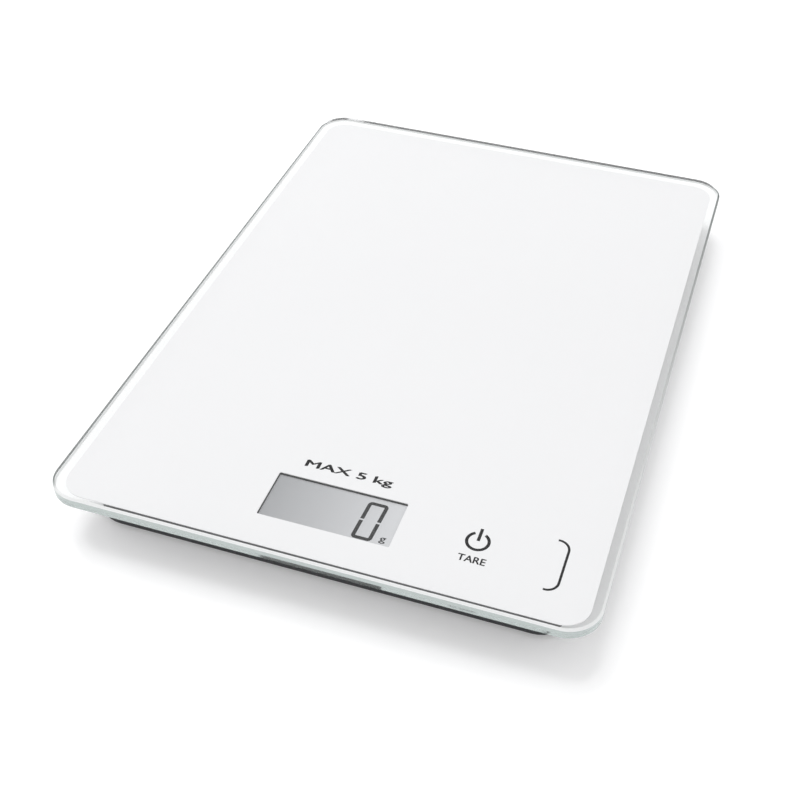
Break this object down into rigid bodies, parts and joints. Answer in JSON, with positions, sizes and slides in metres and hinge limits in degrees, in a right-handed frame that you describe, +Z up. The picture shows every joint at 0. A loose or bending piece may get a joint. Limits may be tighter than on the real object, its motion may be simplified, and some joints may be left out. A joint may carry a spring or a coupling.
{
  "type": "kitchen scale",
  "caption": "Flat digital kitchen scale: a rounded glass weighing plate with a printed film, a small display and a touch key, on a slim plastic housing with round feet.",
  "frame": {"origin": "on the table, under the centre of the glass plate, with the foot pads at z = 0", "axes": "+X towards the user's right, -Y towards the user and the display, +Z up out of the weighing plate"},
  "size_m": [0.16, 0.225, 0.019],
  "materials": {
    "clear_glass": "clear toughened glass with a ground arris",
    "white_print": "white film printed on its upper side",
    "grey_foam": "double-sided foam tape",
    "dark_plastic": "charcoal moulded plastic with a fine texture",
    "black_rubber": "matt rubber",
    "sensor_steel": "stamped sheet steel",
    "spring_steel": "plated steel",
    "white_plastic": "plain moulded plastic",
    "grey_plastic": "moulded button cap",
    "green_board": "solder mask",
    "black_resin": "potting resin",
    "display_glass": "grey reflective display",
    "copper_foil": "bare copper foil",
    "cell_sleeve": null,
    "grey_cable": "insulated cable",
    "red_wire": "insulated wire",
    "black_wire": "insulated wire"
  },
  "bodies": {
    "housing": {"glass_plate": "clear_glass", "decor_film": "white_print", "adhesive_sheet": "grey_foam", "carrier_plate": "dark_plastic", "lower_shell": "dark_plastic", "display_gasket": "black_rubber", "zebra_strip": "black_rubber", "load_cell_front_left": "sensor_steel", "load_cell_front_right": "sensor_steel", "load_cell_rear_left": "sensor_steel", "load_cell_rear_right": "sensor_steel", "display_holder": "white_plastic", "load_cell_retainer_front_left": "white_plastic", "load_cell_retainer_front_right": "white_plastic", "load_cell_retainer_rear_left": "white_plastic", "load_cell_retainer_rear_right": "white_plastic", "battery_1": "cell_sleeve", "battery_2": "cell_sleeve", "battery_3": "cell_sleeve", "contact_positive": "spring_steel", "contact_negative": "spring_steel", "contact_bridge_left": "spring_steel", "contact_bridge_right": "spring_steel", "touch_spring": "spring_steel", "housing_screw_1": "spring_steel", "housing_screw_2": "spring_steel", "housing_screw_3": "spring_steel", "housing_screw_4": "spring_steel", "housing_screw_5": "spring_steel", "housing_screw_6": "spring_steel", "board_screw_1": "spring_steel", "board_screw_2": "spring_steel", "circuit_board": "green_board", "controller_chip": "black_resin", "tact_switch": "black_resin", "display_cell": "display_glass", "touch_electrode": "copper_foil", "sensor_cable_front_left": "grey_cable", "sensor_cable_front_right": "grey_cable", "sensor_cable_rear_left": "grey_cable", "sensor_cable_rear_right": "grey_cable", "battery_lead_positive": "red_wire", "battery_lead_negative": "black_wire"},
    "foot_front_left": {"foot_front_left": "dark_plastic", "foot_pad_front_left": "black_rubber"},
    "foot_front_right": {"foot_front_right": "dark_plastic", "foot_pad_front_right": "black_rubber"},
    "foot_rear_left": {"foot_rear_left": "dark_plastic", "foot_pad_rear_left": "black_rubber"},
    "foot_rear_right": {"foot_rear_right": "dark_plastic", "foot_pad_rear_right": "black_rubber"},
    "unit_button": {"unit_button": "grey_plastic", "tact_stem": "white_plastic"},
    "battery_door": {"battery_door": "dark_plastic"}
  },
  "joints": [
    {"name": "foot_slide_front_left", "type": "slide", "parent": "housing", "child": "foot_front_left", "axis": [0, 0, 1], "range_m": [-0.0004, 0]},
    {"name": "foot_slide_front_right", "type": "slide", "parent": "housing", "child": "foot_front_right", "axis": [0, 0, 1], "range_m": [-0.0004, 0]},
    {"name": "foot_slide_rear_left", "type": "slide", "parent": "housing", "child": "foot_rear_left", "axis": [0, 0, 1], "range_m": [-0.0004, 0]},
    {"name": "foot_slide_rear_right", "type": "slide", "parent": "housing", "child": "foot_rear_right", "axis": [0, 0, 1], "range_m": [-0.0004, 0]},
    {"name": "unit_button_slide", "type": "slide", "parent": "housing", "child": "unit_button", "axis": [0, 0, 1], "range_m": [0, 0.0003], "stiffness_N_per_m": 5000},
    {"name": "battery_door_hinge", "type": "hinge", "parent": "housing", "child": "battery_door", "pos_m": [0, 0.06, 0.0018], "axis": [1, 0, 0], "range_deg": [0, 75]}
  ]
}
